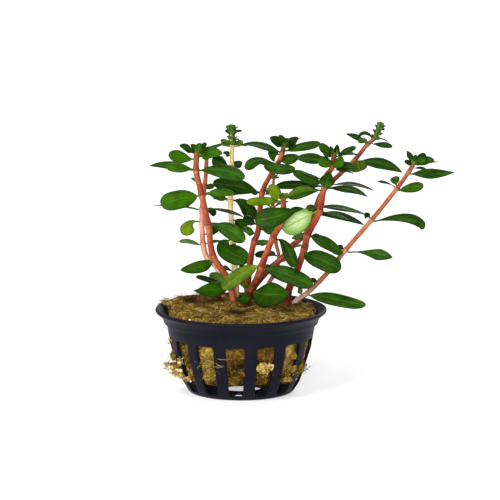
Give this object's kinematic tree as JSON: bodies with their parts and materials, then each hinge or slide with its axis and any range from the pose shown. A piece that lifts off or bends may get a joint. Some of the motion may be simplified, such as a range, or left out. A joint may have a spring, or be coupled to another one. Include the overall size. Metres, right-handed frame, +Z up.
{
  "type": "potted stem plant",
  "caption": "Bunch of aquarium stem plant with red stems and opposite green leaves, rooted in a mineral wool plug in a round slotted net pot.",
  "frame": {"origin": "middle of the pot's foot, on the surface that it stands on", "axes": "+Z up, -Y towards the front of the plant, +X towards the side that the long stems lean to"},
  "size_m": [0.0989, 0.056, 0.0856],
  "materials": {
    "pot_plastic": "satin",
    "rockwool": "matte",
    "stem_red": "satin",
    "stem_pale": "satin",
    "leaf_green": "satin",
    "leaf_young": "satin",
    "leaf_under": "satin"
  },
  "bodies": {
    "root": {"net_pot": "pot_plastic", "rockwool_plug": "rockwool", "stem_1": "stem_red", "leaf_1_1": "leaf_green", "leaf_1_2": "leaf_green", "leaf_1_3": "leaf_green", "leaf_1_4": "leaf_green", "leaf_1_5": "leaf_green", "leaf_1_6": "leaf_green", "leaf_1_7": "leaf_green", "leaf_1_8": "leaf_green", "leaf_1_9": "leaf_green", "stem_2": "stem_pale", "leaf_2_1": "leaf_green", "leaf_2_2": "leaf_green", "leaf_2_3": "leaf_young", "stem_3": "stem_pale", "leaf_3_1": "leaf_green", "leaf_3_2": "leaf_green", "leaf_3_3": "leaf_green", "stem_4": "stem_red", "leaf_4_1": "leaf_green", "leaf_4_2": "leaf_green", "leaf_4_3": "leaf_green", "leaf_4_4": "leaf_green", "leaf_4_5": "leaf_green", "leaf_4_6": "leaf_green", "stem_5": "stem_red", "leaf_5_1": "leaf_young", "leaf_5_2": "leaf_young", "leaf_5_3": "leaf_young", "leaf_5_4": "leaf_green", "leaf_5_5": "leaf_green", "leaf_5_6": "leaf_young", "leaf_5_7": "leaf_green", "leaf_5_8": "leaf_green", "leaf_5_9": "leaf_green", "stem_6": "stem_red", "leaf_6_1": "leaf_green", "leaf_6_2": "leaf_green", "leaf_6_3": "leaf_green", "leaf_6_4": "leaf_green", "leaf_6_5": "leaf_green", "leaf_6_6": "leaf_green", "leaf_6_7": "leaf_under", "leaf_6_8": "leaf_green", "leaf_6_9": "leaf_green", "stem_7": "stem_red", "leaf_7_1": "leaf_green", "leaf_7_2": "leaf_young", "leaf_7_3": "leaf_green", "leaf_7_4": "leaf_green", "leaf_7_5": "leaf_green", "stem_8": "stem_pale", "leaf_8_1": "leaf_green", "leaf_8_2": "leaf_green", "leaf_8_3": "leaf_green", "leaf_8_4": "leaf_green", "leaf_8_5": "leaf_green", "stem_9": "stem_pale"}
  },
  "joints": []
}
